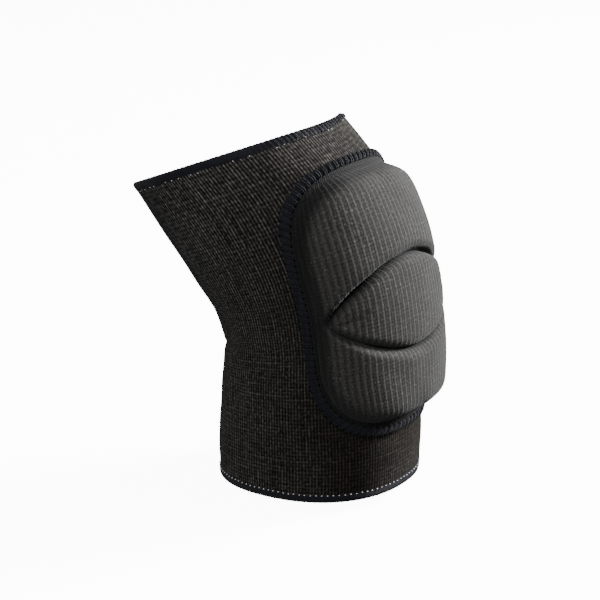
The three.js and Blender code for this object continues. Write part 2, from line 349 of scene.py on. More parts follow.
# %% Helpers for finishes
def new_finish(name, sheen, sheen_roughness, shine):
    """A material whose shader has the yarn's sheen. It returns the material and its tree."""
    material = bpy.data.materials.new(name)
    material.use_nodes = True
    shader = material.node_tree.nodes["Principled BSDF"]
    shader.inputs["Sheen Weight"].default_value = sheen
    shader.inputs["Sheen Roughness"].default_value = sheen_roughness
    shader.inputs["Specular IOR Level"].default_value = shine
    return material, material.node_tree


def set_or_link(tree, socket, value):
    """Puts a number, a colour or another node's output into a socket."""
    if isinstance(value, bpy.types.NodeSocket):
        tree.links.new(value, socket)
    elif isinstance(value, tuple):
        socket.default_value = (*value, 1.0)
    else:
        socket.default_value = value


def calc(tree, operation, *values):
    """A maths node. Each value is a number or another node's output."""
    node = tree.nodes.new("ShaderNodeMath")
    node.operation = operation
    for socket, value in zip(node.inputs, values):
        set_or_link(tree, socket, value)
    return node.outputs[0]


def times(tree, first, second):
    """The product of two values."""
    return calc(tree, "MULTIPLY", first, second)


def ramp(tree, value, gain, offset):
    """The value times gain plus offset."""
    return calc(tree, "MULTIPLY_ADD", value, gain, offset)


def clamp(tree, value, low=0.0, high=1.0):
    """The value, kept between low and high."""
    return calc(tree, "MINIMUM", calc(tree, "MAXIMUM", value, low), high)


def stretch(tree, value, gain, offset):
    """The value times gain plus offset, kept between 0 and 1."""
    return clamp(tree, ramp(tree, value, gain, offset))


def wave(tree, place, start=0.0):
    """A wave from 0 to 1 with its crest at each whole number of place."""
    turned = ramp(tree, place, 2 * math.pi, start * 2 * math.pi)
    return ramp(tree, calc(tree, "COSINE", turned), 0.5, 0.5)


def stitch_rows(tree, wale, course, slant):
    """Rows of stitches, each a small V in its column. Slant is how deep the V is."""
    zigzag = calc(tree, "ABSOLUTE", calc(tree, "SUBTRACT", calc(tree, "FRACT", wale), 0.5))
    return wave(tree, ramp(tree, zigzag, slant, course))


def mix(tree, share, low, high):
    """low where share is 0 and high where it is 1."""
    node = tree.nodes.new("ShaderNodeMix")
    node.data_type = "RGBA"
    colour_in = [s for s in node.inputs if s.type == "RGBA"]
    set_or_link(tree, node.inputs["Factor"], share)
    set_or_link(tree, colour_in[0], low)
    set_or_link(tree, colour_in[1], high)
    return [s for s in node.outputs if s.type == "RGBA"][0]


def cloth_places(tree):
    """The cloth's own measure, as an output across and an output along."""
    source = tree.nodes.new("ShaderNodeUVMap")
    source.uv_map = "cloth_places"
    split = tree.nodes.new("ShaderNodeSeparateXYZ")
    tree.links.new(source.outputs["UV"], split.inputs[0])
    return source.outputs["UV"], split.outputs["X"], split.outputs["Y"]


def streaks(tree, across, along, wide, long, up=0.0):
    """Noise drawn out along the cloth: wide and long are its speeds across and along."""
    place = tree.nodes.new("ShaderNodeCombineXYZ")
    parts = (times(tree, across, wide), times(tree, along, long), up)
    for socket, value in zip(place.inputs, parts):
        set_or_link(tree, socket, value)
    return noise(tree, place.outputs[0], 1.0)


def noise(tree, place, scale, detail=2.0, roughness=0.5):
    """Cloudy noise round 0.5 at a place."""
    node = tree.nodes.new("ShaderNodeTexNoise")
    node.inputs["Scale"].default_value = scale
    node.inputs["Detail"].default_value = detail
    node.inputs["Roughness"].default_value = roughness
    tree.links.new(place, node.inputs["Vector"])
    return node.outputs["Fac"]


def object_place(tree):
    """The place in the object, in metres."""
    return tree.nodes.new("ShaderNodeTexCoord").outputs["Object"]


def give_relief(tree, height, depth):
    """Raises and sinks the shaded surface by a height from 0 to 1, times depth in metres."""
    bump = tree.nodes.new("ShaderNodeBump")
    bump.inputs["Distance"].default_value = depth
    bump.inputs["Strength"].default_value = 1.0
    tree.links.new(height, bump.inputs["Height"])
    tree.links.new(bump.outputs["Normal"], tree.nodes["Principled BSDF"].inputs["Normal"])


def give_colour(tree, colour, roughness):
    """Wires the colour and roughness into the shader."""
    shader = tree.nodes["Principled BSDF"]
    set_or_link(tree, shader.inputs["Base Color"], colour)
    set_or_link(tree, shader.inputs["Roughness"], roughness)


# %% [markdown]
# The sleeve's knit is black, with fine lighter columns of stitches, called wales, that run
# along the leg. On the calf the rows across, called courses, show as well and make a square
# check. The threads' tone is painted by side: a lighter grey at the back, which lies in
# shade, and a darker, warmer brown in random patches towards the front, where the key light falls.
# Everything is drawn from the cloth's own measure: one wale and one course is a step of 1.
# The numbers inside the sums are how much of each wave and cloud goes into the mixture.

# %% The sleeve's finish
COURSE = 2.05
KNIT_BLACK = (0.003, 0.003, 0.0035)
KNIT_THREAD = (0.2, 0.192, 0.178)
KNIT_THREAD_LIT_SIDE = (0.05, 0.041, 0.027)
KNIT_PATCHES = 28.0
KNIT_RELIEF = 0.00018
CHECK_ON_THIGH = 0.35
CHECK_ON_CALF = 0.7


def knit_finish():
    finish, tree = new_finish("black_knit", sheen=0.02, sheen_roughness=0.45, shine=0.06)
    place, wale, course = cloth_places(tree)
    metres = object_place(tree)
    split = tree.nodes.new("ShaderNodeSeparateXYZ")
    tree.links.new(metres, split.inputs[0])
    stitch = stitch_rows(tree, wale, course, 0.8)
    ridge = wave(tree, wale)
    on_calf = ramp(tree, split.outputs["Z"], -22.0, 0.55)
    on_calf = clamp(tree, on_calf, CHECK_ON_THIGH, CHECK_ON_CALF)

    wale_run = ramp(tree, streaks(tree, wale, course, 0.9, 0.07), 2.2, -0.55)
    course_run = stretch(tree, streaks(tree, wale, course, 0.13, 0.9, 7.0), 3.0, -1.15)
    loop_light = stretch(tree, streaks(tree, wale, course, 1.1, 1.1, 3.0), 5.0, -2.3)
    wale_line = times(tree, calc(tree, "POWER", ridge, 2.5), wale_run)
    wale_line = times(tree, wale_line, ramp(tree, stitch, 0.6, 0.4))
    course_line = times(tree, calc(tree, "POWER", wave(tree, course, 0.5), 3.0), course_run)
    course_line = times(tree, course_line, on_calf)
    speck = times(tree, loop_light, ramp(tree, ridge, 0.8, 0.05))
    light = calc(tree, "MAXIMUM", wale_line, course_line)
    light = clamp(tree, ramp(tree, light, 0.62, times(tree, speck, 0.5)))

    patch = noise(tree, metres, KNIT_PATCHES, detail=3.0)
    # Painted by side: the threads darken and turn browner towards the front, where the key light falls.
    front = stretch(tree, split.outputs["Y"], -12.0, 0.55)
    lit_side_share = clamp(tree, times(tree, front, ramp(tree, patch, 0.8, 0.6)))
    colour = mix(tree, light, KNIT_BLACK, mix(tree, lit_side_share, KNIT_THREAD, KNIT_THREAD_LIT_SIDE))
    give_colour(tree, colour, ramp(tree, light, -0.12, 0.92))
    height = times(tree, ridge, ramp(tree, stitch, 0.45, 0.55))
    height = calc(tree, "ADD", height, times(tree, noise(tree, place, 2.5), 0.35))
    give_relief(tree, height, KNIT_RELIEF)
    return finish


black_knit = knit_finish()
print("finish:", black_knit.name, "with", len(black_knit.node_tree.nodes), "nodes")

# %% [markdown]
# The sleeve is a tube with an inside and an outside. It could be a thin sheet with a
# thickness modifier, but here both walls are made from the same rows, which keeps the wall
# the thickness of the real knit at the fold behind the knee. The rows lie closer at that
# fold. Two columns of points for each wale, one high and one low, give the knit a real relief.

# %% The sleeve
SLEEVE_WALL = 2.2
HEM_HEIGHT = 4.5
SLEEVE_IN_HEM = 1.6
KNEE_STATION = 0.5
WALES_ROUND = 200
SLEEVE_COLUMNS = 2 * WALES_ROUND
OUTSIDE_ROWS = 125
INSIDE_ROWS = 26
ROW_GATHER = 0.55
WALE_RELIEF = 0.13
SLEEVE_SWELL = 0.22
COURSES_CALF = CALF["length"] / COURSE
COURSES_THIGH = THIGH["length"] / COURSE


def gathered_rows(count):
    """Even rows from 0 to 1, drawn together towards the knee in the middle."""
    even = np.linspace(-1, 1, count)
    gathered = even * (1 - ROW_GATHER) + ROW_GATHER * even**3
    return (gathered + 1) / 2


def sleeve_station(row, angle):
    """The station of a row. The rows run from inside one hem's roll to inside the other's."""
    low = station_inside(0, angle, SLEEVE_IN_HEM)
    high = station_inside(1, angle, SLEEVE_IN_HEM)
    end = np.where(row < KNEE_STATION, low, high)
    share = np.abs(row - KNEE_STATION) / KNEE_STATION
    return KNEE_STATION + (end - KNEE_STATION) * share


def sleeve_courses(row):
    """Which course of stitches a row lies on, counted from the calf rim."""
    return np.interp(row, [0, KNEE_STATION, 1], [0, COURSES_CALF, COURSES_CALF + COURSES_THIGH])


def make_sleeve():
    outside = gathered_rows(OUTSIDE_ROWS)
    inside = gathered_rows(INSIDE_ROWS)[::-1]
    turns = np.arange(SLEEVE_COLUMNS) / SLEEVE_COLUMNS
    angle = 2 * math.pi * turns[None, :]
    rows = np.concatenate([outside, inside])[:, None]
    lift = np.full((len(rows), SLEEVE_COLUMNS), -float(SLEEVE_WALL))
    ridge = WALE_RELIEF * (1 - 2 * (np.arange(SLEEVE_COLUMNS) % 2)) / 2
    uneven = SLEEVE_SWELL * swell(turns[None, :], outside[:, None], 9, seed=11)
    lift[:OUTSIDE_ROWS] = ridge[None, :] + uneven
    points = lifted_point(sleeve_station(rows, angle), angle, lift).reshape(-1, 3)
    count = len(rows)
    faces, row, column = grid_faces(count, SLEEVE_COLUMNS, wrap_rows=True, wrap_columns=True)
    courses = np.append(sleeve_courses(rows[:, 0]), 0.0)
    cloth = pairs(column / 2, courses[row])
    bake = pairs(column / SLEEVE_COLUMNS, row / count)
    return make_piece("knit_sleeve_cloth", points, faces, black_knit, cloth, bake)


sleeve = make_sleeve()
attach(sleeve, "root")
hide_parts("knit_sleeve")

# %% [markdown]
# The pad has its own measure: millimetres across its front and along it, both counted from
# its middle. Its outline is a squared oval. The cushion rises from a flat margin up a sloping
# flank to a crisp shoulder, and two curved grooves leave a raised kneecap between them.

# %% The pad's outline and height
BARE_ABOVE_PAD = 25
BARE_BELOW_PAD = 36
PAD_WIDTH = 126
PAD_THICKNESS_LOW = 15
PAD_THICKNESS_HIGH = 11
PAD_FLANK_SIDE = 8
PAD_FLANK_TOP = 15
PAD_FLANK_BOTTOM = 9
PAD_MARGIN = 7
MARGIN_THICKNESS = 1.5
PAD_SQUARENESS = 3.2
PAD_GAP = 0.5
KNEECAP_ABOVE_KNEE = 15
KNEECAP_RISE = 25.5
KNEECAP_DROP = 25
KNEECAP_BRIDGE = 7
GROOVE_DEPTH = 4.5
GROOVE_SPREAD = 6
GROOVE_TIP_TAPER = 0.5
GROOVE_STEPS = 360
SHOULDER_CRISPNESS = 6
KNEECAP_POINTEDNESS = 0.65

PAD_TOP = FRONT_RUN[-1] - BARE_ABOVE_PAD
PAD_BOTTOM = FRONT_RUN[0] + BARE_BELOW_PAD
PAD_LENGTH = PAD_TOP - PAD_BOTTOM
PAD_MIDDLE = (PAD_TOP + PAD_BOTTOM) / 2
PAD_BEND_RADIUS = (KNEE["depth"] + KNEE["width"]) / 4
KNEECAP_ALONG = KNEECAP_ABOVE_KNEE - PAD_MIDDLE
KNEECAP_HALF_WIDTH = PAD_WIDTH / 2 - PAD_MARGIN - KNEECAP_BRIDGE
print("pad", PAD_WIDTH, "mm wide and", round(PAD_LENGTH, 1), "mm long")


def pad_point(across, along, lift):
    """Points above the pad's place on the leg."""
    station = np.interp(PAD_MIDDLE + along, FRONT_RUN, RUN_STATIONS)
    return lifted_point(station, across / PAD_BEND_RADIUS, PAD_GAP + lift)


def pad_outline(turn, inset):
    """The squared oval, set in from the outer edge of the overlocked seam."""
    radius = squared_radius(turn, PAD_SQUARENESS)
    across = (PAD_WIDTH / 2 - inset) * radius * np.cos(turn)
    along = (PAD_LENGTH / 2 - inset) * radius * np.sin(turn)
    return across, along


def inset_at(across, along):
    """How far a point of the pad lies inside its outline."""
    turn = np.arctan2(along / PAD_LENGTH, across / PAD_WIDTH)
    return np.hypot(*pad_outline(turn, 0)) - np.hypot(across, along)


def eye_opening(share):
    """How far the kneecap's pointed oval is open, from 1 in its middle to 0 at its tips."""
    return np.maximum(np.cos(share * math.pi / 2), 0) ** KNEECAP_POINTEDNESS


def groove_distances(across, along):
    """Distances from points of the pad to the upper groove and to the lower groove."""
    share = np.cos(np.linspace(0, math.pi, GROOVE_STEPS))
    groove_across = KNEECAP_HALF_WIDTH * share
    distances = []
    for height in (KNEECAP_RISE, -KNEECAP_DROP):
        groove_along = KNEECAP_ALONG + height * eye_opening(share)
        nearest = np.full(across.shape, np.inf)
        for x, y in zip(groove_across, groove_along):
            nearest = np.minimum(nearest, np.hypot(across - x, along - y))
        distances.append(nearest)
    return distances


def flank_width(along):
    """The width of the cushion's sloping flank, which grows towards the pad's ends."""
    up = np.clip(2 * along / PAD_LENGTH, -1, 1)
    end = np.where(up > 0, PAD_FLANK_TOP, PAD_FLANK_BOTTOM)
    return PAD_FLANK_SIDE + (end - PAD_FLANK_SIDE) * np.abs(up) ** 3


def cushion_height(across, along):
    """The cushion's height: flat margin, sloping flank, crisp shoulder and grooves."""
    inset = inset_at(across, along)
    flank = np.maximum((inset - PAD_MARGIN) / flank_width(along), 0)
    rise = flank / (1 + flank**SHOULDER_CRISPNESS) ** (1 / SHOULDER_CRISPNESS)
    up_share = along / PAD_LENGTH + 0.5
    crown = PAD_THICKNESS_LOW + (PAD_THICKNESS_HIGH - PAD_THICKNESS_LOW) * up_share
    tip_share = np.minimum(np.abs(across) / KNEECAP_HALF_WIDTH, 1)
    spread = GROOVE_SPREAD * (1 - GROOVE_TIP_TAPER * tip_share**2)
    nearest = np.minimum(*groove_distances(across, along))
    groove = GROOVE_DEPTH * (1 - np.minimum(nearest / spread, 1)) ** 2 * rise
    return np.maximum(crown * rise - groove, MARGIN_THICKNESS), rise


# %% [markdown]
# The pad's cover is one piece of charcoal ribbed knit. Each rib is a rounded ridge of a few
# wales, with a valley beside it, and rows of small stitches cross it. The finish below
# draws the stitches, and paints the shade of the ribs by darkening their valleys. The ribs
# themselves are made in the mesh, so that they also show at the pad's edge. A measure kept
# on the mesh says where painted shade darkens the cloth: in the creases and on the flank.

# %% The ribbed cover's finish
# The valleys' colour is painted shade, darker than the yarn on the ridges.
COVER_VALLEY_SHADE = (0.0095, 0.0095, 0.0098)
COVER_RIDGE = (0.04, 0.039, 0.0365)
COVER_HEATHER = (0.17, 0.162, 0.15)
# The colour of the painted shade in the creases and on the flank.
COVER_PAINTED_SHADE = (0.0025, 0.0025, 0.003)
COVER_COURSE = 2.1
WALES_PER_RIB = 2.0
COVER_CLOUDS = 45.0
COVER_RELIEF = 0.00028


def ribbed_finish():
    finish, tree = new_finish("charcoal_rib", sheen=0.08, sheen_roughness=0.4, shine=0.1)
    place, rib, course = cloth_places(tree)
    metres = object_place(tree)
    # Painted shade: the colour darkens from each rib's ridge down into its valley.
    ridge = calc(tree, "SUBTRACT", 1.0, calc(tree, "POWER", wave(tree, rib, 0.5), 2.5))
    wale = times(tree, rib, WALES_PER_RIB)
    stitch = stitch_rows(tree, wale, course, 0.25)
    fine = wave(tree, wale)
    yarn = stretch(tree, streaks(tree, rib, course, 5.0, 2.2), 3.6, -1.3)
    course_run = stretch(tree, streaks(tree, rib, course, 0.7, 1.0, 5.0), 3.0, -1.0)
    light = ramp(tree, ridge, 0.5, -0.13)
    light = calc(tree, "ADD", light, times(tree, fine, 0.14))
    stitch_light = times(tree, stitch, times(tree, course_run, 0.2))
    light = calc(tree, "ADD", light, stitch_light)
    light = clamp(tree, calc(tree, "ADD", light, times(tree, yarn, 0.42)))
    fleck = stretch(tree, streaks(tree, rib, course, 4.0, 1.1, 9.0), 5.5, -3.15)
    cloud = noise(tree, metres, COVER_CLOUDS, detail=3.0)
    fleck = times(tree, fleck, stretch(tree, cloud, 1.6, -0.2))
    colour = mix(tree, light, COVER_VALLEY_SHADE, COVER_RIDGE)
    colour = mix(tree, times(tree, fleck, 0.6), colour, COVER_HEATHER)
    # Painted shade: the measure kept on the mesh darkens the colour in the creases and on the flank.
    crease = tree.nodes.new("ShaderNodeAttribute")
    crease.attribute_name = "painted_shade"
    colour = mix(tree, crease.outputs["Fac"], colour, COVER_PAINTED_SHADE)
    give_colour(tree, colour, ramp(tree, light, -0.14, 0.94))
    height = ramp(tree, fine, 0.4, times(tree, stitch, 0.3))
    height = calc(tree, "ADD", height, times(tree, noise(tree, place, 3.0), 0.3))
    give_relief(tree, height, COVER_RELIEF)
    return finish


charcoal_rib = ribbed_finish()
print("finish:", charcoal_rib.name, "with", len(charcoal_rib.node_tree.nodes), "nodes")

# %% [markdown]
# The cover is a grid bent into the squared oval: its columns are the ribs, which draw
# together at the top and bottom as gathered knit does. Its rows lie closest along the two
# grooves, where the cloth dips into a narrow crease, and the rows follow those grooves.

# %% The cover's grid
RIBS = 39
COLUMNS_PER_RIB = 8
ROWS_BELOW = 58
ROWS_BETWEEN = 52
ROWS_ABOVE = 58
COVER_EDGE_INSET = 5.2
LEAST_OPENING = 0.05
ROW_CROWDING = 0.72
COVER_HALF_WIDTH = PAD_WIDTH / 2 - COVER_EDGE_INSET
COVER_HALF_LENGTH = PAD_LENGTH / 2 - COVER_EDGE_INSET


def narrowing(place):
    """How much narrower the squared oval is at a place from -1 to 1."""
    return (1 - np.abs(place) ** PAD_SQUARENESS / 2) ** (1 / PAD_SQUARENESS)


def squared_place(side, up):
    """A place in a square from -1 to 1 each way, bent into the squared oval."""
    return COVER_HALF_WIDTH * side * narrowing(up), COVER_HALF_LENGTH * up * narrowing(side)


def crowded(count):
    """Shares from 0 to 1 that lie closer together at both ends."""
    even = np.linspace(0, 1, count + 1)
    return even - ROW_CROWDING * np.sin(2 * math.pi * even) / (2 * math.pi)


def cover_rows(side):
    """For each column, the heights up the square of its rows, which follow both grooves."""
    half_length = COVER_HALF_LENGTH * narrowing(side)
    share = np.minimum(np.abs(side) * COVER_HALF_WIDTH / KNEECAP_HALF_WIDTH, 1)
    eye = np.maximum(eye_opening(share), LEAST_OPENING)
    low = (KNEECAP_ALONG - KNEECAP_DROP * eye) / half_length
    high = (KNEECAP_ALONG + KNEECAP_RISE * eye) / half_length
    below = -1 + (low + 1)[None, :] * crowded(ROWS_BELOW)[:, None]
    between = low[None, :] + (high - low)[None, :] * crowded(ROWS_BETWEEN)[1:, None]
    above = high[None, :] + (1 - high)[None, :] * crowded(ROWS_ABOVE)[1:, None]
    return np.concatenate([below, between, above])


# %% [markdown]
# Foam pushes its cover outwards, and the seam and the creases hold the cover down. A cloth
# simulation finds the form in between. It runs on a coarse copy of the grid, which is held at
# its rim and creases and filled by pressure from below, without gravity. How far each point
# went, capped at a little over a millimetre, is then spread over the fine grid.

# %% Fill the cover with a cloth simulation
PUFF_ROW_STEP = 2
PUFF_COLUMN_STEP = 4
PUFF_QUALITY = 5
PUFF_MASS = 0.02
PUFF_PRESSURE = 100.0
PUFF_FRAMES = 20
PUFF_MOST = 1.2


def finer_grid(coarse, rows, columns):
    """A finer grid of vectors, drawn smoothly through the coarse ones."""
    tall = smooth_line(coarse.reshape(len(coarse), -1), np.linspace(0, 1, rows))
    tall = tall.reshape(rows, coarse.shape[1], 3).transpose(1, 0, 2)
    wide = smooth_line(tall.reshape(coarse.shape[1], -1), np.linspace(0, 1, columns))
    return wide.reshape(columns, rows, 3).transpose(1, 0, 2)


def puffed(points, held):
    """How far each point of the cover's grid moves as the foam fills it."""
    start = points[::PUFF_ROW_STEP, ::PUFF_COLUMN_STEP]
    rows, columns = start.shape[:2]
    faces, _, _ = grid_faces(rows, columns)
    flat = start.reshape(-1, 3)
    if not facing_out(flat, faces):
        faces = faces[:, ::-1]
    mesh = bpy.data.meshes.new("puff_sheet")
    mesh.from_pydata((flat * MM).tolist(), [], faces.tolist())
    sheet = new_object("puff_sheet", mesh)
    scene = bpy.context.scene
    still = np.flatnonzero(held[::PUFF_ROW_STEP, ::PUFF_COLUMN_STEP].ravel())
    sheet.vertex_groups.new(name="held").add(still.tolist(), 1.0, "ADD")
    cloth = sheet.modifiers.new("foam_pressure", "CLOTH")
    cloth.settings.quality = PUFF_QUALITY
    cloth.settings.mass = PUFF_MASS
    cloth.settings.use_pressure = True
    cloth.settings.uniform_pressure_force = PUFF_PRESSURE
    cloth.settings.vertex_group_mass = "held"
    cloth.settings.effector_weights.gravity = 0
    cloth.point_cache.frame_end = PUFF_FRAMES
    for moment in range(1, PUFF_FRAMES + 1):
        scene.frame_set(moment)
    evaluated = sheet.evaluated_get(bpy.context.evaluated_depsgraph_get())
    after = np.empty(len(flat) * 3)
    evaluated.data.vertices.foreach_get("co", after)
    move = after.reshape(rows, columns, 3) / MM - start
    bpy.data.objects.remove(sheet)
    bpy.data.meshes.remove(mesh)
    scene.frame_set(1)
    length = np.maximum(np.linalg.norm(move, axis=-1, keepdims=True), LEAST_LENGTH)
    print("the cover moved by up to", round(float(length.max()), 2), "mm")
    print("its middle moved by", round(float(np.median(length)), 2), "mm")
    move = move * PUFF_MOST * np.tanh(length / PUFF_MOST) / length
    return finer_grid(move, *points.shape[:2])


# %% [markdown]
# Four finer things go on top: the narrow crease in each groove, which fades towards the
# middle of the front, the ribs, a soft unevenness, and painted shade, a dark colour in the
# creases, where the cloth is drawn in and no light gets at it, and low on the cushion's flank.

# %% The cover
CREASE_DEPTH = 3.2
CREASE_IN_MIDDLE = 0.45
UPPER_FADE = (0.0, 0.5)
LOWER_FADE = (0.0, 0.45)
CREASE_END = (1.0, 1.06)
CREASE_SHADE = 0.95
SHADE_IN_MIDDLE = 0.7
SHADE_FADE = (0.1, 0.6)
SHADED_RISE = (0.3, 0.9)
FLANK_RISE = (0.45, 0.98)
SHADE_ABOVE = 3.4
SHADE_BELOW = 2.0
SHADE_LOWER = 1.1
FLANK_SHADE = 0.78
UPPER_CREASE_WIDTH = 1.55
LOWER_CREASE_WIDTH = 0.85
RIB_RELIEF = 0.075
RIBS_FROM_GROOVE = (0.3, 2.2)
RIBS_RISE = (0.0, 0.25)
COVER_SWELL = 0.25
HELD_RISE = 0.2
HELD_CREASE = 0.4
UNDERSIDE_SHARES = (0.86, 0.72, 0.58, 0.44, 0.3, 0.16)
MAP_TOP = 0.9
MAP_RINGS = 0.91
MAP_LAST = 0.98
MAP_STRIP = 0.01
RING_WALES = 100


def crease_depth(across, along):
    """How far the crease in each groove sinks below the groove's own floor."""
    upper, lower = groove_distances(across, along)
    share = np.abs(across) / KNEECAP_HALF_WIDTH
    upper_fade = CREASE_IN_MIDDLE + (1 - CREASE_IN_MIDDLE) * smooth_step(*UPPER_FADE, share)
    lower_fade = CREASE_IN_MIDDLE + (1 - CREASE_IN_MIDDLE) * smooth_step(*LOWER_FADE, share)
    past_tip = 1 - smooth_step(*CREASE_END, share)
    upper_crease = upper_fade * np.exp(-((upper / UPPER_CREASE_WIDTH) ** 2))
    lower_crease = lower_fade * np.exp(-((lower / LOWER_CREASE_WIDTH) ** 2))
    return CREASE_DEPTH * past_tip * np.maximum(upper_crease, lower_crease)


def painted_shade(across, along, rise):
    """Painted shade in the creases and on the flank, from 0 to 1. It reaches higher above the upper
    crease.
    """
    upper, lower = groove_distances(across, along)
    share = np.clip(np.abs(across) / KNEECAP_HALF_WIDTH, 0, 1)
    above = along > KNEECAP_ALONG + KNEECAP_RISE * eye_opening(share)
    fade = SHADE_IN_MIDDLE + (1 - SHADE_IN_MIDDLE) * smooth_step(*SHADE_FADE, share)
    reach = np.where(above, SHADE_ABOVE, SHADE_BELOW) * fade
    crease = np.maximum(np.exp(-((upper / reach) ** 2)), np.exp(-((lower / SHADE_LOWER) ** 2)))
    # The flank below the shoulder gets painted shade as well.
    flank = FLANK_SHADE * (1 - smooth_step(*FLANK_RISE, rise))
    return np.maximum(CREASE_SHADE * crease * smooth_step(*SHADED_RISE, rise), flank)


def cover_top():
    """The grid of the cover's outer surface, with its ribs."""
    columns = RIBS * COLUMNS_PER_RIB + 1
    side = np.linspace(-1, 1, columns)
    up = cover_rows(side)
    across, along = squared_place(np.broadcast_to(side, up.shape), up)
    height, rise = cushion_height(across, along)
    crease = crease_depth(across, along) * rise
    points = pad_point(across, along, height - crease)
    held = (rise < HELD_RISE) | (crease > HELD_CREASE * CREASE_DEPTH)
    points = points + puffed(points, held)
    normals = grid_normals(points)
    station = np.interp(PAD_MIDDLE + along, FRONT_RUN, RUN_STATIONS)
    outward = leg_normal(station, across / PAD_BEND_RADIUS)
    normals = normals * np.sign((normals * outward).sum(-1, keepdims=True))
    rib_place = (side[None, :] + 1) / 2 * RIBS
    nearest = np.minimum(*groove_distances(across, along))
    keep = smooth_step(*RIBS_FROM_GROOVE, nearest) * smooth_step(*RIBS_RISE, rise)
    valley = (1 - np.cos(2 * math.pi * rib_place)) / 2
    ribs = RIB_RELIEF * (1 - 2 * valley**2) * keep
    uneven = COVER_SWELL * swell(across / PAD_WIDTH, along / PAD_LENGTH, 7, seed=5) * rise
    shade = painted_shade(across, along, rise)
    return points + normals * (ribs + uneven)[..., None], across, along, rib_place, shade


def rim_of_grid(rows, columns):
    """The points on the rim of a grid, in order round it."""
    return np.concatenate([
        np.arange(columns - 1),
        (np.arange(rows - 1) * columns) + columns - 1,
        (rows - 1) * columns + np.arange(columns - 1, 0, -1),
        np.arange(rows - 1, 0, -1) * columns,
    ])


def make_cover():
    top, across, along, rib_place, top_shade = cover_top()
    rows, columns = across.shape
    faces, row, column = grid_faces(rows, columns)
    cloth = pairs(rib_place[0][column], along[row, column] / COVER_COURSE)
    bake = pairs(column / (columns - 1), row / (rows - 1) * MAP_TOP)
    rim = rim_of_grid(rows, columns)
    rim_across, rim_along = across.ravel()[rim], along.ravel()[rim]
    points = [top.reshape(-1, 3)]
    for share in (1, *UNDERSIDE_SHARES):
        points.append(pad_point(rim_across * share, rim_along * share, np.zeros(len(rim))))
    points = np.concatenate(points)
    count = len(rim)
    ring = np.arange(count)
    rings = [rim] + [rows * columns + k * count + ring for k in range(len(UNDERSIDE_SHARES) + 1)]
    quads, places, bakes = [faces], [cloth], [bake]
    for k, (outer, inner) in enumerate(zip(rings[:-1], rings[1:])):
        after = (ring + 1) % count
        quads.append(np.stack([outer[ring], inner[ring], inner[after], outer[after]], axis=1))
        low = MAP_RINGS + MAP_STRIP * k
        high = low + MAP_STRIP
        sides = np.stack([ring, ring, ring + 1, ring + 1], axis=1) / count
        bakes.append(pairs(sides, np.array([low, high, high, low])[None, :]))
        places.append(pairs(sides * RING_WALES, np.array([0.0, 1.0, 1.0, 0.0])[None, :] + k))
    half = count // 2
    left = rings[-1][:half]
    right = rings[-1][::-1][:half]
    quads.append(np.stack([left[:-1], right[:-1], right[1:], left[1:]], axis=1))
    last_strip = MAP_LAST + MAP_STRIP * np.array([0, 1, 1, 0])
    bakes.append(pairs(np.linspace(0, 1, half)[:-1, None] + np.zeros(4), last_strip))
    places.append(np.zeros((half - 1, 4, 2)))
    piece = make_piece(
        "ribbed_pad_cover", points, np.concatenate(quads), charcoal_rib,
        np.concatenate(places), np.concatenate(bakes),
    )
    # Painted shade for the top of the cover, kept on the mesh. The underside gets none.
    shade = np.zeros(len(points))
    shade[:top_shade.size] = top_shade.ravel()
    layer = piece.data.attributes.new("painted_shade", "FLOAT", "POINT")
    layer.data.foreach_set("value", shade)
    return piece


cover = make_cover()
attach(cover, "root")
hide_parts("pad_cushion", "kneecap_cushion")

# %% [markdown]
# Overlocking binds a raw edge with thread that winds over it stitch by stitch. Modelled as
# one long thread it is a helix: it crosses the band on top, goes round the outer edge and
# comes back underneath. The thread is fluffy texturised nylon of a blue-black colour.

# %% The thread's finish
THREAD_DARK = (0.003, 0.0031, 0.0042)
THREAD_LIGHT = (0.017, 0.0182, 0.0265)
STITCH_WHITE = (0.62, 0.62, 0.64)
STITCH_SHADOW = (0.35, 0.35, 0.37)
THREAD_FUZZ = 2600.0
THREAD_CLOUDS = 160.0
OVERLOCK_RELIEF = 0.00018
NEEDLE_RELIEF = 0.00008


def thread_finish(name, dark, light, twist_depth):
    finish, tree = new_finish(name, sheen=0.04, sheen_roughness=0.35, shine=0.15)
    _, around, along = cloth_places(tree)
    metres = object_place(tree)
    twist = wave(tree, ramp(tree, along, 2.2, times(tree, around, 2.0)))
    fuzz = noise(tree, metres, THREAD_FUZZ, detail=4.0, roughness=0.6)
    cloud = noise(tree, metres, THREAD_CLOUDS)
    light_share = times(tree, twist, ramp(tree, fuzz, 1.6, -0.1))
    light_share = times(tree, light_share, ramp(tree, cloud, 1.2, 0.2))
    colour = mix(tree, clamp(tree, light_share), dark, light)
    give_colour(tree, colour, ramp(tree, fuzz, 0.25, 0.6))
    height = ramp(tree, fuzz, 0.5, times(tree, twist, 0.6))
    give_relief(tree, height, twist_depth)
    return finish


navy_thread = thread_finish("navy_overlock_thread", THREAD_DARK, THREAD_LIGHT, OVERLOCK_RELIEF)
white_thread = thread_finish("light_needle_thread", STITCH_SHADOW, STITCH_WHITE, NEEDLE_RELIEF)

# %% [markdown]
# Both kinds of shape that the seams need are sweeps. A band is a closed section carried round
# a loop, and a wound thread is a thin tube along a helix round that band. One helper makes a
# tube along a closed line, and one joins several such rings into one piece.

# %% Bands and tubes
def tube_points(line, outward, radius, sides):
    """A tube along a closed line. Outward is a direction that roughly points away from it."""
    ahead = unit(np.roll(line, -1, axis=0) - np.roll(line, 1, axis=0))
    outward = unit(outward - ahead * (outward * ahead).sum(1, keepdims=True))
    sideways = np.cross(ahead, outward)
    turn = even_angles(sides)
    circle = outward[:, None, :] * np.cos(turn)[None, :, None]
    circle = circle + sideways[:, None, :] * np.sin(turn)[None, :, None]
    return line[:, None, :] + radius * circle


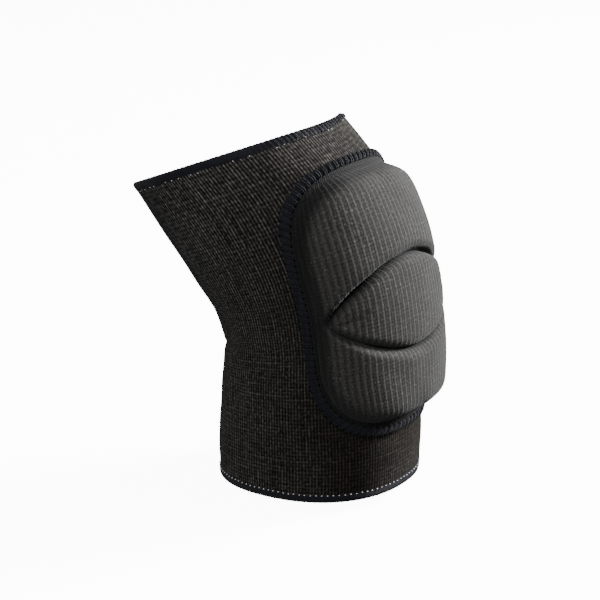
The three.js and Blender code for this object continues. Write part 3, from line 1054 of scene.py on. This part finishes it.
def join_patches(name, patches, bands):
    """One piece from several rings. Bands is how many strips each ring's flat map is cut into."""
    points, faces, cloth, bake = [], [], [], []
    first = 0
    for number, (ring, along_unit, around_unit) in enumerate(patches):
        rows, columns = ring.shape[:2]
        quads, row, column = grid_faces(rows, columns, first, wrap_rows=True, wrap_columns=True)
        along, around = row / rows, column / columns
        points.append(ring.reshape(-1, 3))
        faces.append(quads)
        cloth.append(pairs(around * around_unit, along * along_unit))
        strips = bands[number]
        strip = np.floor(along.min(axis=1) * strips - LEAST_LENGTH).clip(0, strips - 1)[:, None]
        low = sum(bands[:number])
        height = (low + strip + 0.05 + 0.9 * around) / sum(bands)
        bake.append(pairs(np.clip(along * strips - strip, 0, 1), height))
        first += rows * columns
    return make_piece(
        name, np.concatenate(points), np.concatenate(faces), navy_thread,
        np.concatenate(cloth), np.concatenate(bake),
    )


# %% [markdown]
# All three overlocked seams are made alike: a plain band with two yarns wound over it, one
# winding for each stitch. Each seam has its own loop, sizes and places where the yarn stands
# out. The windings differ a little in size, as a machine's loops do.

# %% Wound yarns and overlocked seams
SUNK_YARN = 0.38
YARN_LOOSENESS = 0.1
YARN_EASE = 4
YARNS = 2
CORE_SHARE = 0.5
BAND_STEPS = 3
TWISTS_PER_STITCH = 6.0
TWIST_ROUND = 2.0
BAND_STRIPS = 6


def wound_yarn(point_on_oval, stitches, steps, start, half, pride, wobble_seed):
    """A closed helix of yarn with one winding for each stitch.

    Pride gives, for shares of the loop, how far the yarn stands out there, from 0 to 1.
    """
    share = np.arange(stitches * steps) / (stitches * steps)
    draw = np.random.default_rng(wobble_seed)
    loose = 1 + YARN_LOOSENESS * np.repeat(draw.uniform(-1, 1, stitches), steps)
    around_ends = np.concatenate([loose[-YARN_EASE:], loose, loose[:YARN_EASE]])
    window = 2 * YARN_EASE + 1
    loose = np.convolve(around_ends, np.ones(window) / window, "valid")
    loose = loose * (SUNK_YARN + (1 - SUNK_YARN) * pride(share))
    winding = 2 * math.pi * stitches * share
    line = point_on_oval(share + start / stitches, winding, (half[0], half[1] * loose))
    core = point_on_oval(share + start / stitches, winding, (half[0] * CORE_SHARE, half[1] * CORE_SHARE))
    return line, line - core


def overlocked(name, point_on_oval, length, seam, pride, seed):
    """A band round a loop with the yarns wound over it, as one piece."""
    stitches = round(length / seam["stitch"])
    steps = stitches * BAND_STEPS
    share = np.arange(steps) / steps
    base = point_on_oval(share[:, None], even_angles(seam["sides"])[None, :], seam["half"])
    patches = [(base, steps, seam["sides"])]
    for yarn in range(YARNS):
        line, outward = wound_yarn(
            point_on_oval, stitches, seam["yarn_steps"], yarn * seam["yarn_gap"],
            seam["yarn_half"], pride, seed + yarn,
        )
        tube = tube_points(line, outward, seam["yarn_radius"], seam["yarn_sides"])
        patches.append((tube, stitches * TWISTS_PER_STITCH, TWIST_ROUND))
    print(name, "has", stitches, "stitches round", round(length), "mm")
    return join_patches(name, patches, [BAND_STRIPS] + YARNS * [seam["yarn_strips"]])


# %% [markdown]
# The pad's edge is bound with the thickest yarn. Its loops stand out along the top of the
# pad, and lie flat at its sides and bottom.

# %% The pad's overlocked edge
EDGE_WIDTH = 5
EDGE_LIFT = 1.15
EDGE_PROUD = (0.15, 0.75)
EDGE_SEAM = {
    "stitch": 4.0, "half": (1.95, 0.5), "sides": 12, "yarn_half": (2.3, 0.95),
    "yarn_radius": 0.5, "yarn_sides": 7, "yarn_steps": 22, "yarn_gap": 0.3, "yarn_strips": 24,
}
OUTLINE_STEPS = 2000


def even_turns(shares):
    """The outline's turns at even shares of its length."""
    turn = np.linspace(0, 2 * math.pi, OUTLINE_STEPS)
    return at_shares(shares, turn, np.stack(pad_outline(turn, EDGE_WIDTH / 2), axis=1))


def edge_point(share, section_turn, half):
    """A point on an oval round the middle of the pad's edge."""
    turn, _ = even_turns(share)
    inset = EDGE_WIDTH / 2 - half[0] * np.cos(section_turn)
    across, along = pad_outline(turn, inset)
    return pad_point(across, along, EDGE_LIFT + half[1] * np.sin(section_turn))


def edge_pride(share):
    """The edge's loops stand out along the top of the pad and sink in elsewhere."""
    turn, _ = even_turns(share)
    return smooth_step(*EDGE_PROUD, np.sin(turn))


_, edge_length = even_turns(np.zeros(1))
edge = overlocked("pad_edge_overlock", edge_point, edge_length, EDGE_SEAM, edge_pride, seed=21)
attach(edge, "root")
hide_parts("pad_edge_seam")

# %% [markdown]
# Each rim of the sleeve is bound in the same way, with a thinner thread, over a band that is
# squarer in section and holds the sleeve's wall.

# %% The hems
HEM_SEAM = {
    "stitch": 3.2, "half": (2.2, 1.55), "sides": 14, "yarn_half": (2.15, 1.75),
    "yarn_radius": 0.32, "yarn_sides": 6, "yarn_steps": 18, "yarn_gap": 0.28, "yarn_strips": 20,
}
HEM_SQUARENESS = 3.2
HEM_PROUD = (0.3, 0.9)
CALF_PRIDE = 0.3
RIM_STEPS = 1200


def rim_angles(rim, shares):
    """Angles round the leg at even shares of a rim's length, and that length."""
    angle = np.linspace(0, 2 * math.pi, RIM_STEPS)
    return at_shares(shares, angle, leg_point(np.full(RIM_STEPS, float(rim)), angle))


def hem_point(rim):
    """A function for points on an oval round the middle of one rim's wall."""
    def point(share, section_turn, half):
        angle, _ = rim_angles(rim, share)
        angle, section_turn = np.broadcast_arrays(angle, section_turn)
        radius = squared_radius(section_turn, HEM_SQUARENESS)
        inside = HEM_HEIGHT / 2 - half[0] * radius * np.cos(section_turn)
        lift = half[1] * radius * np.sin(section_turn) - SLEEVE_WALL / 2
        return lifted_point(station_inside(rim, angle, inside), angle, lift)
    return point


def hem_pride(rim):
    """The thigh's loops stand out at the front, and the calf's a little all round."""
    def pride(share):
        angle, _ = rim_angles(rim, share)
        return rim * smooth_step(*HEM_PROUD, np.cos(angle)) + (1 - rim) * CALF_PRIDE
    return pride


def make_hem(rim, name, seed):
    _, length = rim_angles(rim, np.zeros(1))
    return overlocked(name, hem_point(rim), length, HEM_SEAM, hem_pride(rim), seed)


calf_hem = make_hem(0, "calf_hem_overlock", seed=31)
thigh_hem = make_hem(1, "thigh_hem_overlock", seed=38)
for hem, node in ((calf_hem, "calf_hem"), (thigh_hem, "thigh_hem")):
    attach(hem, "root")
    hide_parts(node)

# %% [markdown]
# The needle's thread is light, and it shows as a row of small dots above the calf rim. Under
# the thigh rim the dots are fewer and less even.

# %% The light needle stitches
DOT_LENGTH = 0.95
DOT_RADIUS = 0.34
DOT_SIDES = 8
DOT_RINGS = 5
DOT_LIFT = 0.35
DOT_WANDER = 1.5
CALF_DOTS = {"inset": 4.0, "pitch": 3.3, "kept": 1.0, "jitter": 0.06, "size": 1.0}
THIGH_DOTS = {"inset": 4.2, "pitch": 5.0, "kept": 0.6, "jitter": 0.2, "size": 0.85}


def make_dots(rim, name, seed, inset, pitch, kept, jitter, size):
    """Small rounded stitches in a row round a rim, an inset away from its edge."""
    draw = np.random.default_rng(seed)
    _, length = rim_angles(rim, np.zeros(1))
    count = round(length / pitch)
    share = (np.arange(count) + draw.uniform(-jitter, jitter, count)) / count
    share = share[draw.uniform(0, 1, count) < kept]
    inside = inset + draw.uniform(-jitter, jitter, len(share)) * DOT_WANDER
    angle, _ = rim_angles(rim, share)
    station = station_inside(rim, angle, inside)
    centre = lifted_point(station, angle, np.full(len(share), DOT_LIFT))
    outward = leg_normal(station, angle)
    ahead = unit(leg_point(station, angle + SLOPE_STEP) - leg_point(station, angle - SLOPE_STEP))
    sideways = np.cross(ahead, outward)
    turn = even_angles(DOT_SIDES)
    bend = math.pi * (np.arange(DOT_RINGS) + 0.5) / DOT_RINGS
    reach = DOT_LENGTH / 2 * size * np.cos(bend)
    width = DOT_RADIUS * size * np.sin(bend)
    local = (
        ahead[:, None, None, :] * reach[None, :, None, None]
        + outward[:, None, None, :] * (width[:, None] * np.cos(turn)[None, :])[None, :, :, None]
        + sideways[:, None, None, :] * (width[:, None] * np.sin(turn)[None, :])[None, :, :, None]
    )
    points = (centre[:, None, None, :] + local).reshape(-1, 3)
    faces, _, _ = grid_faces(DOT_RINGS, DOT_SIDES, wrap_columns=True)
    cap = np.array([[0, 1, 2, 3], [0, 3, 4, 7], [7, 4, 5, 6]])
    bottom = cap + (DOT_RINGS - 1) * DOT_SIDES
    one = np.concatenate([faces, cap[:, ::-1], bottom])
    every = np.concatenate([one + k * DOT_RINGS * DOT_SIDES for k in range(len(share))])
    return make_piece(name, points, every, white_thread)


calf_dots = make_dots(0, "calf_hem_needle_stitches", 41, **CALF_DOTS)
thigh_dots = make_dots(1, "thigh_hem_needle_stitches", 43, **THIGH_DOTS)
for dots, node in ((calf_dots, "calf_hem"), (thigh_dots, "thigh_hem")):
    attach(dots, "root")
    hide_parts(node)

# %% [markdown]
# The pad is shown as in a shop's picture: nothing round it, a pale floor and soft light. The
# floor lies just under the calf rim and is large enough to fill the view. It glows by itself,
# which keeps it pale, and that glow is kept off the pad.

# %% The floor
FLOOR_HALF = 30.0
FLOOR_GAP = 0.0006
FLOOR_GLOW = 11.0
FLOOR_DARK = (0.86, 0.86, 0.86)
FLOOR_LIGHT = (0.9, 0.9, 0.9)
FLOOR_CLOUDS = 3.0


def floor_finish():
    finish, tree = new_finish("pale_floor", sheen=0.0, sheen_roughness=0.5, shine=0.1)
    cloud = noise(tree, object_place(tree), FLOOR_CLOUDS)
    colour = mix(tree, cloud, FLOOR_DARK, FLOOR_LIGHT)
    give_colour(tree, colour, ramp(tree, cloud, 0.1, 0.75))
    shader = tree.nodes["Principled BSDF"]
    shader.inputs["Emission Color"].default_value = (1.0, 1.0, 1.0, 1.0)
    shader.inputs["Emission Strength"].default_value = FLOOR_GLOW
    return finish


lowest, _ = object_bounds()
floor_z = lowest[2] - FLOOR_GAP
floor_mesh = bpy.data.meshes.new("floor")
floor_ways = ((-1, -1), (1, -1), (1, 1), (-1, 1))
floor_corners = [(x * FLOOR_HALF, y * FLOOR_HALF, floor_z) for x, y in floor_ways]
floor_mesh.from_pydata(floor_corners, [], [(0, 1, 2, 3)])
floor_mesh.materials.append(floor_finish())
floor = new_object("floor", floor_mesh)
floor.visible_diffuse = False
floor.visible_glossy = False
print("floor at", round(floor_z, 4), "m")

# %% [markdown]
# The camera looks at the knee from the wearer's right, a metre away and a little above. The
# picture's middle isn't on the knee, which a small shift of the lens takes up. The lights are
# three square panels. The key stands to the right, above and a little behind the knee, a weak
# one hangs above, and a broad one beside the camera fills the shadows.

# %% Camera and lights
from mathutils import Vector

SENSOR = 36.0
WORLD_COLOUR = (0.95, 0.96, 1.0, 1.0)
WORLD_STRENGTH = 0.14
view_back = Vector((
    math.sin(VIEW_AZIMUTH) * math.cos(VIEW_ELEVATION),
    -math.cos(VIEW_AZIMUTH) * math.cos(VIEW_ELEVATION),
    math.sin(VIEW_ELEVATION),
))
view_right = Vector((math.cos(VIEW_AZIMUTH), math.sin(VIEW_AZIMUTH), 0))
view_up = view_back.cross(view_right)


def aim_at_knee(thing, place):
    """Puts a camera or a light at a place, facing the knee."""
    thing.location = place
    thing.rotation_mode = "QUATERNION"
    thing.rotation_quaternion = (-thing.location).to_track_quat("-Z", "Y")


camera_data = bpy.data.cameras.new("photo_camera")
camera_data.sensor_width = SENSOR
camera_data.lens = SENSOR * PIXELS_PER_METRE * VIEW_DISTANCE / PHOTO_PIXELS
camera_data.shift_x = (PHOTO_PIXELS / 2 - KNEE_PIXEL[0]) / PHOTO_PIXELS
camera_data.shift_y = (KNEE_PIXEL[1] - PHOTO_PIXELS / 2) / PHOTO_PIXELS
camera = new_object("photo_camera", camera_data)
aim_at_knee(camera, view_back * VIEW_DISTANCE)
bpy.context.scene.camera = camera
print("lens", round(camera_data.lens, 1), "mm")
print("shift", round(camera_data.shift_x, 4), round(camera_data.shift_y, 4))


def add_panel(name, rightward, upward, backward, size, power):
    """A square light panel that faces the knee, placed along the camera's own directions."""
    data = bpy.data.lights.new(name, "AREA")
    data.shape = "SQUARE"
    data.size = size
    data.energy = power
    place = view_right * rightward + view_up * upward + view_back * backward
    aim_at_knee(new_object(name, data), place)


add_panel("key_panel", 2.0, 1.25, -0.42, 0.7, 262)
add_panel("top_panel", 0.9, 1.9, 0.5, 1.2, 25)
add_panel("fill_panel", -0.3, 0.7, 2.2, 1.4, 50)

world = bpy.data.worlds.new("studio")
world.use_nodes = True
background = world.node_tree.nodes["Background"]
background.inputs["Color"].default_value = WORLD_COLOUR
background.inputs["Strength"].default_value = WORLD_STRENGTH
bpy.context.scene.world = world
